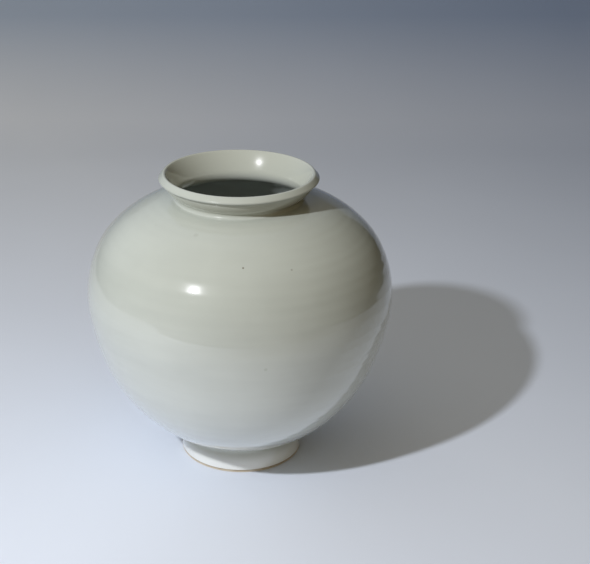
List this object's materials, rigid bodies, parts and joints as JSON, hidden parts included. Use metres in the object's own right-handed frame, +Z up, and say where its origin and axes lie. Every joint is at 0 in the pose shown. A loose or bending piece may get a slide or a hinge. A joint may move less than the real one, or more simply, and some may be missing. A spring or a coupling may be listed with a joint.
{
  "type": "moon jar",
  "caption": "Large round white porcelain storage jar with a short flared neck, rounded lip and low foot ring, thrown as bowls that are luted at the belly and glazed over.",
  "frame": {"origin": "centre of the flat ring that the foot rests on", "axes": "+Z up along the axis of revolution, out of the mouth; X and Y are free because the jar is round"},
  "size_m": [0.42, 0.42, 0.4135],
  "materials": {
    "porcelain_clay": "bare high-fired porcelain, matt",
    "porcelain_slip": "fired joining slip, matt",
    "white_glaze": "glossy milky white glaze with a faint grey green tint"
  },
  "bodies": {
    "root": {"lower_bowl": "porcelain_clay", "upper_bowl": "porcelain_clay", "neck_collar": "porcelain_clay", "foot_ring": "porcelain_clay", "belly_slip": "porcelain_slip", "neck_slip": "porcelain_slip", "foot_slip": "porcelain_slip", "glaze_coat": "white_glaze", "base_glaze": "white_glaze"}
  },
  "joints": []
}
